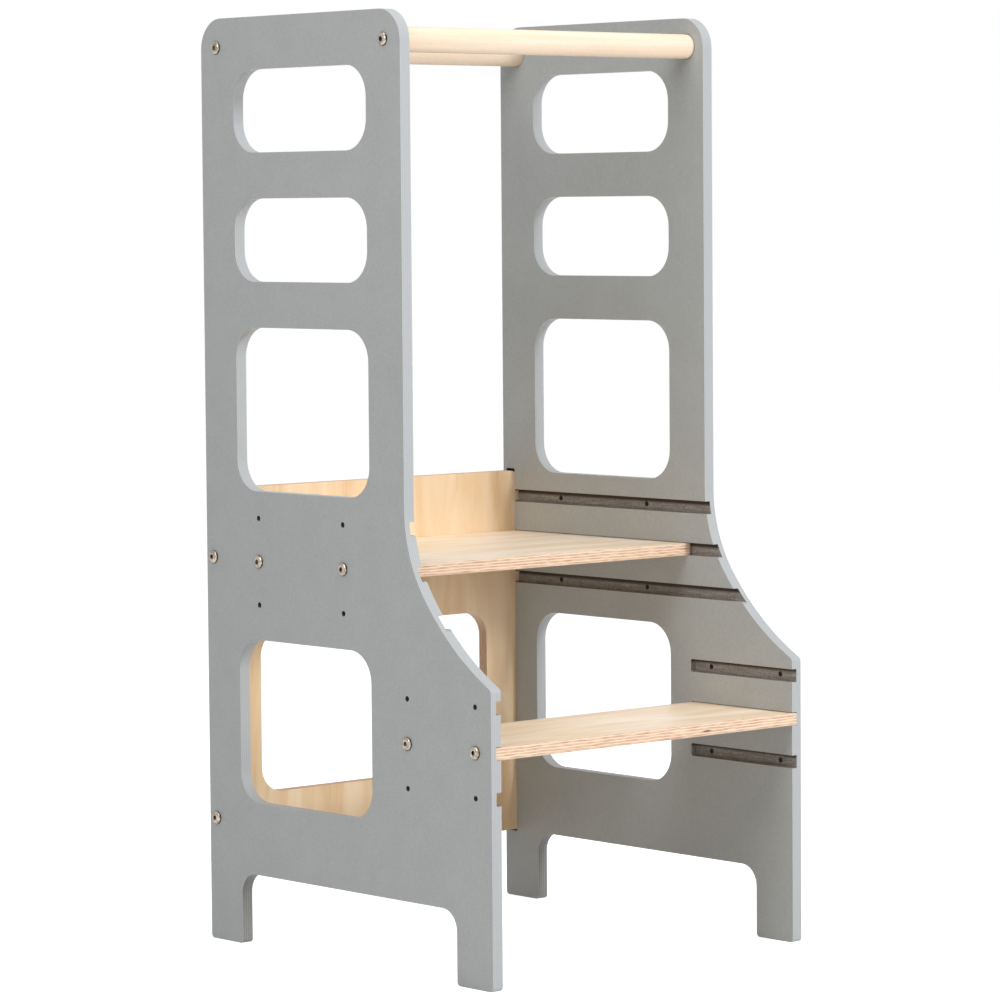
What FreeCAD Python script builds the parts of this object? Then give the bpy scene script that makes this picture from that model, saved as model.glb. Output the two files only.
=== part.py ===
import FreeCAD, Part
import math
import os
import Sketcher
from FreeCAD import Placement, Rotation, Vector

# Kitchen helper stool for a toddler: two painted side panels carry a back panel, a standing
# platform, a lower step and two round rails, held by sixteen screws.  The origin lies on the
# floor, midway between the side panels and midway along their feet.  X runs across the stool,
# -Y is the front, Z is up.

doc = FreeCAD.newDocument("HelperStool")
sizes = doc.addObject("Spreadsheet::Sheet", "Sizes")

# Driving dimensions, millimetres and degrees.
DIMENSIONS = {
    # side panels, outline
    "stool_height": 900,
    "stool_width": 400,
    "base_depth": 420,
    "top_depth": 300,
    "panel_thickness": 12,
    "panel_top_radius": 30,
    "foot_width": 50,
    "foot_radius": 4,
    "arch_height": 70,
    "arch_radius": 20,
    # concave front curve: a tight arc below the upper front edge, then a wider one
    "curve_start_height": 438,
    "upper_curve_radius": 137,
    "curve_turn": 37,
    "lower_curve_radius": 276,
    "curve_end_radius": 5,
    # windows of the side panels
    "window_margin": 50,
    "window_radius": 30,
    "window_bar": 44,
    "hand_window_height": 80,
    "lower_window_sill": 140,
    "lower_window_height": 160,
    # grooves that carry the boards
    "groove_depth": 6,
    "groove_pitch": 42,
    "groove_clearance": 0.6,
    # standing platform and lower step
    "board_thickness": 12,
    "platform_seat": 370,
    "platform_depth": 258,
    "platform_screw_inset": 65,
    "platform_corner_radius": 3,
    "step_seat": 212.5,
    "step_depth": 140,
    "step_screw_inset": 22,
    "step_end_clearance": 1,
    # back panel in its housing
    "back_thickness": 12,
    "back_height": 374,
    "back_inset": 5,
    "back_corner_radius": 12,
    "back_window_margin": 40,
    "back_window_radius": 25,
    "back_lower_screw": 50,
    "back_upper_screw": 307,
    "housing_clearance": 0.4,
    "housing_end_clearance": 2,
    # rails in their sockets
    "rail_diameter": 24,
    "rail_inset": 24,
    "rail_drop": 28,
    "rail_clearance": 0.5,
    # eased edges of the unpainted boards
    "board_edge_chamfer": 0.8,
    # screws with low heads
    "screw_diameter": 5,
    "screw_length": 25,
    "head_diameter": 12.6,
    "head_height": 3,
    "key_width": 4,
    "key_depth": 2,
    "screw_clearance": 0.3,
    "bore_clearance": 0.1,
    "bore_end_clearance": 1,
}

# Places that follow from the driving dimensions.
DERIVED = {
    "inner_face": "=stool_width / 2 - panel_thickness",
    "groove_floor": "=inner_face + groove_depth",
    "panel_back": "=base_depth / 2",
    "base_front": "=-base_depth / 2",
    "top_front": "=panel_back - top_depth",
    "curve_join_y": "=top_front - upper_curve_radius * (1 - cos(curve_turn))",
    "curve_join_z": "=curve_start_height - upper_curve_radius * sin(curve_turn)",
    "curve_end_cosine": "=cos(curve_turn) - (curve_join_y - base_front) / lower_curve_radius",
    "curve_end_z": "=curve_join_z - lower_curve_radius"
                   " * (sqrt(1 - curve_end_cosine ^ 2) - sin(curve_turn))",
    "window_front": "=top_front + window_margin",
    "window_back": "=panel_back - window_margin",
    "hand_window_sill": "=stool_height - window_margin - hand_window_height",
    "second_window_head": "=hand_window_sill - window_bar",
    "second_window_sill": "=second_window_head - hand_window_height",
    "third_window_head": "=second_window_sill - window_bar",
    "third_window_sill": "=arch_height + back_height",
    "lower_window_head": "=lower_window_sill + lower_window_height",
    "back_rear": "=panel_back - back_inset",
    "back_front": "=back_rear - back_thickness",
    "back_middle": "=back_rear - back_thickness / 2",
    "back_base": "=arch_height",
    "groove_height": "=board_thickness + groove_clearance",
    "platform_front": "=back_front - platform_depth",
    "step_back": "=base_front + step_depth",
    "rail_height": "=stool_height - rail_drop",
    "front_rail_y": "=top_front + rail_inset",
    "rear_rail_y": "=panel_back - rail_inset",
    "hole_diameter": "=screw_diameter + screw_clearance",
    "bore_diameter": "=screw_diameter + bore_clearance",
    "bore_depth": "=screw_length - panel_thickness + groove_depth + bore_end_clearance",
}


def fill_sheet():
    row = 0
    for table in (DIMENSIONS, DERIVED):
        for name, value in table.items():
            row += 1
            sizes.set(f"A{row}", name)
            sizes.set(f"B{row}", str(value))
            sizes.setAlias(f"B{row}", name)
    doc.recompute()


def value(expression):
    """The present value of an expression in the sheet's names."""
    return float(sizes.evalExpression(expression))


def qualified(expression):
    """The same expression with each sheet name written as Sizes.name."""
    words = []
    word = ""
    for letter in expression + " ":
        if letter.isalnum() or letter in "_.":
            word += letter
            continue
        if word in DIMENSIONS or word in DERIVED:
            word = "Sizes." + word
        words.append(word + letter)
        word = ""
    return "".join(words).strip()


def bind(item, path, expression):
    item.setExpression(path, qualified(expression))


# ---- sketches ----------------------------------------------------------------------------

# The points of a line or arc, and the geometry that holds the sketch's own origin.
START, END, CENTRE = range(1, 4)
ORIGIN = -START


def new_body(label):
    body = doc.addObject("PartDesign::Body", "Body_" + label)
    body.Label = label
    return body


def origin_part(body, role):
    for feature in body.Origin.OriginFeatures:
        if feature.Role == role:
            return feature
    raise LookupError(role)


def new_sketch(body, name, plane, offset=None):
    """A sketch on one of the body's own planes, moved along its normal by an expression."""
    sketch = body.newObject("Sketcher::SketchObject", name)
    sketch.AttachmentSupport = [(origin_part(body, plane), "")]
    sketch.MapMode = "FlatFace"
    if offset:
        bind(sketch, ".AttachmentOffset.Base.z", offset)
    return sketch


def fix_point(sketch, line, end, across, up):
    """Holds one end of a line or arc at two expressions."""
    for kind, expression in (("DistanceX", across), ("DistanceY", up)):
        rule = Sketcher.Constraint(kind, ORIGIN, START, line, end, value(expression))
        index = sketch.addConstraint(rule)
        bind(sketch, f"Constraints[{index}]", expression)


def add_line(sketch, first, last):
    start = Vector(value(first[0]), value(first[1]), 0)
    finish = Vector(value(last[0]), value(last[1]), 0)
    return sketch.addGeometry(Part.LineSegment(start, finish), False)


def join(sketch, first, second):
    sketch.addConstraint(Sketcher.Constraint("Coincident", first, END, second, START))


def add_polygon(sketch, corners):
    """A closed outline of straight lines through corners given as expressions."""
    lines = []
    for first, last in zip(corners, corners[1:] + corners[:1]):
        lines.append(add_line(sketch, first, last))
    for first, second in zip(lines, lines[1:] + lines[:1]):
        join(sketch, first, second)
    for line, corner in zip(lines, corners):
        fix_point(sketch, line, START, *corner)


def add_rectangle(sketch, left, bottom, right, top):
    add_polygon(sketch, [(left, bottom), (right, bottom), (right, top), (left, top)])


def add_circle(sketch, across, up, diameter):
    centre = Vector(value(across), value(up), 0)
    outline = Part.Circle(centre, Vector(0, 0, 1), value(diameter) / 2)
    circle = sketch.addGeometry(outline, False)
    index = sketch.addConstraint(Sketcher.Constraint("Diameter", circle, value(diameter)))
    bind(sketch, f"Constraints[{index}]", diameter)
    fix_point(sketch, circle, CENTRE, across, up)


# ---- solid features ----------------------------------------------------------------------

def pad(body, sketch, name, length, reverse=False, both_ways=False):
    feature = body.newObject("PartDesign::Pad", name)
    feature.Profile = sketch
    bind(feature, "Length", length)
    feature.Reversed = reverse
    feature.Midplane = both_ways
    doc.recompute()


def pocket(body, sketch, name, depth, reverse=False):
    """Cuts the sketch into the body to a depth, or right through where no depth is given."""
    before = body.Shape.Volume
    feature = body.newObject("PartDesign::Pocket", name)
    feature.Profile = sketch
    if depth:
        bind(feature, "Length", depth)
    else:
        feature.Type = "ThroughAll"
    feature.Reversed = reverse
    doc.recompute()
    if not feature.Shape.Volume < before:
        raise ValueError(f"{body.Label}: {name} cuts nothing")
    return feature


def mirror(body, name, originals):
    """Repeats features at the other end of a board or rail, across its middle plane."""
    before = body.Shape.Volume
    feature = body.newObject("PartDesign::Mirrored", name)
    feature.Originals = originals
    feature.MirrorPlane = (origin_part(body, "YZ_Plane"), [""])
    body.Tip = feature
    doc.recompute()
    if not feature.Shape.Volume < before:
        raise ValueError(f"{body.Label}: {name} repeats nothing")


def repeat_upwards(body, name, originals, copies, pitch):
    """Repeats features at one pitch up the panel."""
    before = body.Shape.Volume
    feature = body.newObject("PartDesign::LinearPattern", name)
    feature.Originals = originals
    feature.Direction = (origin_part(body, "Z_Axis"), [""])
    feature.Occurrences = copies
    bind(feature, "Length", f"{pitch} * {copies - 1}")
    body.Tip = feature
    doc.recompute()
    if not feature.Shape.Volume < before:
        raise ValueError(f"{body.Label}: {name} repeats nothing")


def edge_names(shape, wanted):
    """Names of the edges that a test accepts."""
    names = []
    for number, edge in enumerate(shape.Edges, start=1):
        if wanted(edge):
            names.append(f"Edge{number}")
    return names


def dress(body, kind, name, wanted, size_name, size):
    """Rounds or chamfers the edges that a test accepts."""
    base = body.Tip
    names = edge_names(base.Shape, wanted)
    if not names:
        raise ValueError(f"{body.Label}: {name} finds no edge")
    feature = body.newObject("PartDesign::" + kind, name)
    feature.Base = (base, names)
    bind(feature, size_name, size)
    doc.recompute()


def round_edges(body, name, wanted, radius):
    dress(body, "Fillet", name, wanted, "Radius", radius)


def chamfer_edges(body, name, wanted, size):
    dress(body, "Chamfer", name, wanted, "Size", size)


def near(first, second):
    return abs(first - second) < 1e-4


def is_straight_along(edge, axis):
    if edge.Curve.TypeId != "Part::GeomLine":
        return False
    direction = edge.tangentAt(edge.FirstParameter)
    return near(abs(direction.dot(axis)), 1)


def stands_at(axis, places):
    """A test for straight edges along an axis through any of the given places."""
    marks = [Vector(*[value(part) for part in place]) for place in places]

    def wanted(edge):
        if not is_straight_along(edge, axis):
            return False
        middle = edge.CenterOfMass
        for mark in marks:
            offset = middle - mark
            if near((offset - axis * offset.dot(axis)).Length, 0):
                return True
        return False

    return wanted


def lies_in_plane(axis, heights):
    """A test for edges that lie whole in one of the planes across an axis."""
    levels = [value(height) for height in heights]

    def wanted(edge):
        box = edge.BoundBox
        low = Vector(box.XMin, box.YMin, box.ZMin).dot(axis)
        high = Vector(box.XMax, box.YMax, box.ZMax).dot(axis)
        return near(low, high) and any(near(low, level) for level in levels)

    return wanted


ALONG_X = Vector(1, 0, 0)
ALONG_Y = Vector(0, 1, 0)
ALONG_Z = Vector(0, 0, 1)


# ---- side panels -------------------------------------------------------------------------

def panel_outline(sketch):
    """The panel's outline seen from the side: feet, arch, straight edges and front curve."""
    corners = [
        ("base_front", "curve_end_z"),
        ("base_front", "0"),
        ("base_front + foot_width", "0"),
        ("base_front + foot_width", "arch_height"),
        ("panel_back - foot_width", "arch_height"),
        ("panel_back - foot_width", "0"),
        ("panel_back", "0"),
        ("panel_back", "stool_height"),
        ("top_front", "stool_height"),
        ("top_front", "curve_start_height"),
    ]
    lines = []
    for first, last in zip(corners, corners[1:]):
        lines.append(add_line(sketch, first, last))
    for first, second in zip(lines, lines[1:]):
        join(sketch, first, second)
    for line, corner in zip(lines[1:], corners[1:]):
        fix_point(sketch, line, START, *corner)
    base_edge, top_edge = lines[0], lines[-1]
    fix_point(sketch, top_edge, END, *corners[-1])
    sketch.addConstraint(Sketcher.Constraint("Vertical", base_edge))
    tight, wide = add_front_curve(sketch)
    sketch.addConstraint(Sketcher.Constraint("Tangent", top_edge, END, tight, END))
    sketch.addConstraint(Sketcher.Constraint("Tangent", tight, START, wide, END))
    sketch.addConstraint(Sketcher.Constraint("Coincident", wide, START, base_edge, START))


def add_front_curve(sketch):
    """Two arcs that turn the upper front edge forwards to the lower one."""
    turn = math.radians(value("curve_turn"))
    end_turn = math.acos(value("curve_end_cosine"))
    tight_radius = value("upper_curve_radius")
    wide_radius = value("lower_curve_radius")
    normal = Vector(0, 0, 1)
    outward = Vector(math.cos(turn), -math.sin(turn), 0)
    tight_centre = Vector(value("top_front") - tight_radius, value("curve_start_height"), 0)
    wide_centre = tight_centre + outward * (tight_radius - wide_radius)
    tight_circle = Part.Circle(tight_centre, normal, tight_radius)
    wide_circle = Part.Circle(wide_centre, normal, wide_radius)
    tight = sketch.addGeometry(Part.ArcOfCircle(tight_circle, -turn, 0), False)
    wide = sketch.addGeometry(Part.ArcOfCircle(wide_circle, -end_turn, -turn), False)
    for arc, radius in ((tight, "upper_curve_radius"), (wide, "lower_curve_radius")):
        index = sketch.addConstraint(Sketcher.Constraint("Radius", arc, value(radius)))
        bind(sketch, f"Constraints[{index}]", radius)
    height = value("curve_join_z")
    rule = Sketcher.Constraint("DistanceY", ORIGIN, START, tight, START, height)
    index = sketch.addConstraint(rule)
    bind(sketch, f"Constraints[{index}]", "curve_join_z")
    return tight, wide


# Sill and head of each side window, from the top one down.
WINDOW_LEVELS = (
    ("hand_window_sill", "stool_height - window_margin"),
    ("second_window_sill", "second_window_head"),
    ("third_window_sill", "third_window_head"),
    ("lower_window_sill", "lower_window_head"),
)


def side_panel(label, side):
    """One side panel.  Its inner face lies on its own YZ plane; side is +1 or -1 along X."""
    body = new_body(label)
    # a pad runs along +X unless reversed; a pocket cuts along -X unless reversed
    pad_reverse = side < 0
    cut_reverse = side > 0

    outline = new_sketch(body, label + "_outline", "YZ_Plane")
    panel_outline(outline)
    pad(body, outline, label + "_board", "panel_thickness", reverse=pad_reverse)

    windows = new_sketch(body, label + "_window_outlines", "YZ_Plane")
    for sill, head in WINDOW_LEVELS:
        add_rectangle(windows, "window_front", sill, "window_back", head)
    pocket(body, windows, label + "_windows", None, reverse=cut_reverse)

    round_panel_corners(body, label)
    cut_housing(body, label, cut_reverse)
    cut_grooves(body, label, cut_reverse)
    cut_rail_sockets(body, label, cut_reverse)
    drill_single_holes(body, label, cut_reverse)
    bind(body, ".Placement.Base.x", "inner_face" if side > 0 else "-inner_face")
    return body


def round_panel_corners(body, label):
    """Rounds the corners of the outline and of the windows."""
    front_foot = "base_front + foot_width"
    rear_foot = "panel_back - foot_width"
    window_corners = []
    for sill, head in WINDOW_LEVELS:
        for across in ("window_front", "window_back"):
            window_corners += [("0", across, sill), ("0", across, head)]
    foot_corners = []
    for across in ("base_front", front_foot, rear_foot, "panel_back"):
        foot_corners.append(("0", across, "0"))
    families = (
        ("window", "window_radius", window_corners),
        ("top", "panel_top_radius",
         [("0", "top_front", "stool_height"), ("0", "panel_back", "stool_height")]),
        ("arch", "arch_radius",
         [("0", front_foot, "arch_height"), ("0", rear_foot, "arch_height")]),
        ("foot", "foot_radius", foot_corners),
        ("curve_end", "curve_end_radius", [("0", "base_front", "curve_end_z")]),
    )
    for name, radius, corners in families:
        round_edges(body, f"{label}_{name}_corners", stands_at(ALONG_X, corners), radius)


def cut_housing(body, label, reverse):
    """The upright housing that takes the edge of the back panel."""
    sketch = new_sketch(body, label + "_housing_outline", "YZ_Plane")
    front = "back_front - housing_clearance / 2"
    rear = "back_rear + housing_clearance / 2"
    bottom = "back_base - housing_end_clearance"
    top = "back_base + back_height + housing_end_clearance"
    add_rectangle(sketch, front, bottom, rear, top)
    pocket(body, sketch, label + "_housing", "groove_depth", reverse=reverse)


def cut_grooves(body, label, reverse):
    """Three grooves for the platform, three for the step, each with its two screw holes."""
    beyond_front = "base_front - groove_pitch"
    families = (
        ("platform", "platform_seat", "back_front",
         ("platform_front + platform_screw_inset", "back_front - platform_screw_inset")),
        ("step", "step_seat", "step_back + step_end_clearance",
         ("base_front + step_screw_inset", "step_back - step_screw_inset")),
    )
    for board, seat, rear, hole_places in families:
        lowest = f"{seat} - groove_pitch"
        name = f"{label}_{board}"
        sketch = new_sketch(body, name + "_groove_outline", "YZ_Plane")
        add_rectangle(sketch, beyond_front, lowest, rear, f"{lowest} + groove_height")
        groove = pocket(body, sketch, name + "_groove", "groove_depth", reverse=reverse)
        holes = new_sketch(body, name + "_hole_outlines", "YZ_Plane")
        for across in hole_places:
            add_circle(holes, across, f"{lowest} + board_thickness / 2", "hole_diameter")
        drilled = pocket(body, holes, name + "_holes", None, reverse=reverse)
        repeat_upwards(body, name + "_grooves", [groove, drilled], 3, "groove_pitch")


def cut_rail_sockets(body, label, reverse):
    """Two shallow round sockets that take the ends of the rails."""
    sketch = new_sketch(body, label + "_socket_outlines", "YZ_Plane")
    for across in ("front_rail_y", "rear_rail_y"):
        add_circle(sketch, across, "rail_height", "rail_diameter + 2 * rail_clearance")
    pocket(body, sketch, label + "_rail_sockets", "groove_depth", reverse=reverse)


def drill_single_holes(body, label, reverse):
    """Screw holes for the rails and for the back panel."""
    sketch = new_sketch(body, label + "_single_holes_outline", "YZ_Plane")
    places = (
        ("front_rail_y", "rail_height"),
        ("rear_rail_y", "rail_height"),
        ("back_middle", "back_base + back_lower_screw"),
        ("back_middle", "back_base + back_upper_screw"),
    )
    for across, up in places:
        add_circle(sketch, across, up, "hole_diameter")
    pocket(body, sketch, label + "_single_holes", None, reverse=reverse)


# ---- boards between the side panels ------------------------------------------------------

def bore_ends(body, label, places):
    """Blind bores for the screws in one end, repeated in the other end."""
    sketch = new_sketch(body, label + "_bore_outlines", "YZ_Plane", offset="groove_floor")
    for across, up in places:
        add_circle(sketch, across, up, "bore_diameter")
    bores = pocket(body, sketch, label + "_bores", "bore_depth")
    mirror(body, label + "_other_end", [bores])


def level_board(label, depth, front_radius, screw_inset):
    """A level board.  Its own origin is at the middle of its underside's rear edge."""
    body = new_body(label)
    outline = new_sketch(body, label + "_outline", "XY_Plane")
    add_rectangle(outline, "-groove_floor", f"-{depth}", "groove_floor", "0")
    pad(body, outline, label + "_board", "board_thickness")
    if front_radius:
        corners = [("groove_floor", f"-{depth}", "0"), ("-groove_floor", f"-{depth}", "0")]
        round_edges(body, label + "_corners", stands_at(ALONG_Z, corners), front_radius)
    chamfer_edges(body, label + "_eased_edges",
                  lies_in_plane(ALONG_Z, ["0", "board_thickness"]), "board_edge_chamfer")
    middle = "board_thickness / 2"
    places = [(f"-{depth} + {screw_inset}", middle), (f"-{screw_inset}", middle)]
    bore_ends(body, label, places)
    return body


def standing_platform():
    body = level_board("standing_platform", "platform_depth", "platform_corner_radius",
                       "platform_screw_inset")
    bind(body, ".Placement.Base.y", "back_front")
    bind(body, ".Placement.Base.z", "platform_seat")
    return body


def lower_step():
    body = level_board("lower_step", "step_depth", None, "step_screw_inset")
    bind(body, ".Placement.Base.y", "step_back")
    bind(body, ".Placement.Base.z", "step_seat")
    return body


def back_panel():
    """The back panel.  Its own origin is at the middle of its lower edge, in mid-thickness."""
    label = "back_panel"
    body = new_body(label)
    outline = new_sketch(body, label + "_outline", "XZ_Plane")
    add_rectangle(outline, "-groove_floor", "0", "groove_floor", "back_height")
    pad(body, outline, label + "_board", "back_thickness", both_ways=True)

    window = new_sketch(body, label + "_window_outline", "XZ_Plane",
                        offset="-back_thickness / 2")
    half_width = "(inner_face - back_window_margin)"
    sill = "lower_window_sill - back_base"
    head = "lower_window_head - back_base"
    add_rectangle(window, "-" + half_width, sill, half_width, head)
    pocket(body, window, label + "_window", None, reverse=True)
    corners = [(across, "0", up) for across in ("-" + half_width, half_width)
               for up in (sill, head)]
    round_edges(body, label + "_window_corners",
                stands_at(ALONG_Y, corners), "back_window_radius")
    top = [("-groove_floor", "0", "back_height"), ("groove_floor", "0", "back_height")]
    round_edges(body, label + "_top_corners", stands_at(ALONG_Y, top), "back_corner_radius")
    faces = ["-back_thickness / 2", "back_thickness / 2"]
    chamfer_edges(body, label + "_eased_edges",
                  lies_in_plane(ALONG_Y, faces), "board_edge_chamfer")
    bore_ends(body, label, [("0", "back_lower_screw"), ("0", "back_upper_screw")])
    bind(body, ".Placement.Base.y", "back_middle")
    bind(body, ".Placement.Base.z", "back_base")
    return body


def rail(label, place):
    """A round rail.  Its own origin is at its middle."""
    body = new_body(label)
    outline = new_sketch(body, label + "_outline", "YZ_Plane")
    add_circle(outline, "0", "0", "rail_diameter")
    pad(body, outline, label + "_bar", "2 * groove_floor", both_ways=True)
    bore_ends(body, label, [("0", "0")])
    bind(body, ".Placement.Base.y", place)
    bind(body, ".Placement.Base.z", "rail_height")
    return body


# ---- screws ------------------------------------------------------------------------------

# Each fastening: its name, and its place across and up on the side panels.
FASTENINGS = {
    "front_rail": ("front_rail_y", "rail_height"),
    "rear_rail": ("rear_rail_y", "rail_height"),
    "back_panel_lower": ("back_middle", "back_base + back_lower_screw"),
    "back_panel_upper": ("back_middle", "back_base + back_upper_screw"),
    "platform_front": ("platform_front + platform_screw_inset",
                       "platform_seat + board_thickness / 2"),
    "platform_rear": ("back_front - platform_screw_inset",
                      "platform_seat + board_thickness / 2"),
    "step_front": ("base_front + step_screw_inset", "step_seat + board_thickness / 2"),
    "step_rear": ("step_back - step_screw_inset", "step_seat + board_thickness / 2"),
}


def screw(label, side, across, up):
    """A screw along its own Z axis, turned to point inwards from a side panel's outer face."""
    body = new_body(label)
    half = new_sketch(body, label + "_half", "XZ_Plane")
    corners = [
        ("0", "-screw_length"),
        ("screw_diameter / 2", "-screw_length"),
        ("screw_diameter / 2", "0"),
        ("head_diameter / 2", "0"),
        ("head_diameter / 2", "head_height"),
        ("0", "head_height"),
    ]
    add_polygon(half, corners)
    turned = body.newObject("PartDesign::Revolution", label + "_turned")
    turned.Profile = half
    turned.ReferenceAxis = (half, ["V_Axis"])
    turned.Angle = 360
    doc.recompute()

    key = new_sketch(body, label + "_key_outline", "XY_Plane", offset="head_height")
    hexagon = []
    for step in range(6):
        hexagon.append((f"key_width / sqrt(3) * cos({60 * step})",
                        f"key_width / sqrt(3) * sin({60 * step})"))
    add_polygon(key, hexagon)
    pocket(body, key, label + "_key", "key_depth")

    body.Placement = Placement(Vector(0, 0, 0), Rotation(Vector(0, 1, 0), 90 * side))
    bind(body, ".Placement.Base.x", "stool_width / 2" if side > 0 else "-stool_width / 2")
    bind(body, ".Placement.Base.y", across)
    bind(body, ".Placement.Base.z", up)
    return body


def screws():
    made = []
    for side_name, side in (("left", -1), ("right", 1)):
        for name, (across, up) in FASTENINGS.items():
            made.append(screw(f"screw_{side_name}_{name}", side, across, up))
    return made


# ---- the whole stool ---------------------------------------------------------------------

def check_document():
    for item in doc.Objects:
        if "Invalid" in item.State or "Error" in item.State:
            raise RuntimeError(f"{item.Label}: {item.State}")


def write_parts(bodies):
    os.makedirs("parts", exist_ok=True)
    for body in bodies:
        shape = body.Shape
        if shape.isNull() or not shape.isValid() or len(shape.Solids) != 1:
            raise RuntimeError(f"{body.Label}: not one valid solid")
        print(f"{body.Label}: volume {shape.Volume:.1f} mm3, {len(shape.Faces)} faces")
    for body in bodies:
        body.Shape.exportStep(f"parts/{body.Label}.step")


fill_sheet()
pieces = [
    side_panel("left_side_panel", -1),
    side_panel("right_side_panel", 1),
    back_panel(),
    standing_platform(),
    lower_step(),
    rail("front_rail", "front_rail_y"),
    rail("rear_rail", "rear_rail_y"),
]
pieces += screws()
doc.recompute()
check_document()
write_parts(pieces)
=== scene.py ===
import math

import bmesh
import bpy
from mathutils import Matrix, Vector


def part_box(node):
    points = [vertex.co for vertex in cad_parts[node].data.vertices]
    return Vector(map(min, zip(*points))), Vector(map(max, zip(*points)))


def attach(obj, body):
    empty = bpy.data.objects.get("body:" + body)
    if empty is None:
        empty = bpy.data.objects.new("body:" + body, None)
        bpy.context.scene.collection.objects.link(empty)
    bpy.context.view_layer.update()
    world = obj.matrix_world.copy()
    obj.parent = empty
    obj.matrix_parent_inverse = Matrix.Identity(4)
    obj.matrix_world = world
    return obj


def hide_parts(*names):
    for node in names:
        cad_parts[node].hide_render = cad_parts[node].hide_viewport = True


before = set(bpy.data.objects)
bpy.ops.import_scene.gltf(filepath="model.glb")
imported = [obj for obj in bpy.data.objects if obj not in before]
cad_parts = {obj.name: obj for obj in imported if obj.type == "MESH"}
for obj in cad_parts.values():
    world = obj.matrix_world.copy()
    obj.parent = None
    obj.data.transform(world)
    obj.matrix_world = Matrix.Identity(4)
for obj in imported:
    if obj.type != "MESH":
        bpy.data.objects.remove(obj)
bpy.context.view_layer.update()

mm = 0.001
hair = 0.01 * mm       # points nearer than this are the same point
arcStep = 1.6 * mm     # chords round a wide corner are about this long
sides = {"left": -1, "right": 1}


def linear(hexColour):
    # "#rrggbb" as written in sRGB, turned to the linear values that shaders take
    parts = [int(hexColour[i:i + 2], 16) / 255 for i in (1, 3, 5)]
    return [p / 12.92 if p <= 0.04045 else ((p + 0.055) / 1.055) ** 2.4 for p in parts] + [1]


def addNode(tree, kind, settings=None, inputs=None):
    # inputs take a number, a colour, or another node's output to link
    node = tree.nodes.new(kind)
    for name, setting in (settings or {}).items():
        setattr(node, name, setting)
    for socket, entry in (inputs or {}).items():
        if isinstance(entry, bpy.types.NodeSocket):
            tree.links.new(entry, node.inputs[socket])
        else:
            node.inputs[socket].default_value = entry
    return node


def newFinish(name):
    # an empty material and its node tree
    material = bpy.data.materials.new(name)
    material.use_nodes = True
    material.node_tree.nodes.clear()
    return material, material.node_tree


def stretched(sizes, axis):
    # a scale for a Mapping node: the first size along the axis, the second one across it
    scale = [1 / sizes[1]] * 3
    scale[axis] = 1 / sizes[0]
    return scale


paint = {
    "face": "#a8abaa",         # cool mid grey
    "faceLight": "#b8bbb9",
    "edge": "#adb0b2",         # the same paint over end grain
    "edgeLine": "#989b9d",     # and over its sunken lines
    "arch": "#8f908e",         # thin paint on the coarse cut between the feet, darker too as painted shade under the stool
    "archLine": "#454340",
    "mottle": 34 * mm,         # slow changes of tone where the roller passed
    "mottleShare": 0.4,        # beside the stipple's 1
    "stipple": 1.7 * mm,       # orange peel left by the roller's foam
    "ply": 12 / 9 * mm,        # nine plies in 12 mm, faint under the paint at the edges
    "drift": 40 * mm,          # the plies' lines bend slowly along an edge
    "bend": 0.5,               # by up to this many plies
    "grit": 1.1 * mm,          # pores of the end grain
}


def paintedFace():
    # satin water-based paint, rolled on sanded birch ply: a soft sheen, an even grey with slow
    # clouds in it and a fine stipple that breaks up highlights
    material, tree = newFinish("rolledSatinPaintFace")
    place = addNode(tree, "ShaderNodeTexCoord").outputs["Object"]
    clouds = addNode(tree, "ShaderNodeTexNoise", None, {
        "Vector": place, "Scale": 1 / paint["mottle"], "Detail": 3, "Roughness": 0.55})
    stipple = addNode(tree, "ShaderNodeTexNoise", None, {
        "Vector": place, "Scale": 1 / paint["stipple"], "Detail": 2})
    summed = addNode(tree, "ShaderNodeMath", {"operation": "MULTIPLY_ADD"}, {
        0: clouds.outputs["Fac"], 1: paint["mottleShare"], 2: stipple.outputs["Fac"]})
    tone = addNode(tree, "ShaderNodeMapRange", None, {
        "Value": summed.outputs["Value"], "From Min": 0.4, "From Max": 1})
    colour = addNode(tree, "ShaderNodeMix", {"data_type": "RGBA"}, {
        0: tone.outputs["Result"], 6: linear(paint["face"]), 7: linear(paint["faceLight"])})
    bump = addNode(tree, "ShaderNodeBump", None, {
        "Height": stipple.outputs["Fac"], "Strength": 0.35, "Distance": 0.06 * mm})
    sheen = addNode(tree, "ShaderNodeMapRange", None, {
        "Value": stipple.outputs["Fac"], "To Min": 0.48, "To Max": 0.6})
    shader = addNode(tree, "ShaderNodeBsdfPrincipled", None, {
        "Base Color": colour.outputs[2], "Roughness": sheen.outputs["Result"],
        "Normal": bump.outputs["Normal"]})
    addNode(tree, "ShaderNodeOutputMaterial", None, {"Surface": shader.outputs["BSDF"]})
    return material


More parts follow.
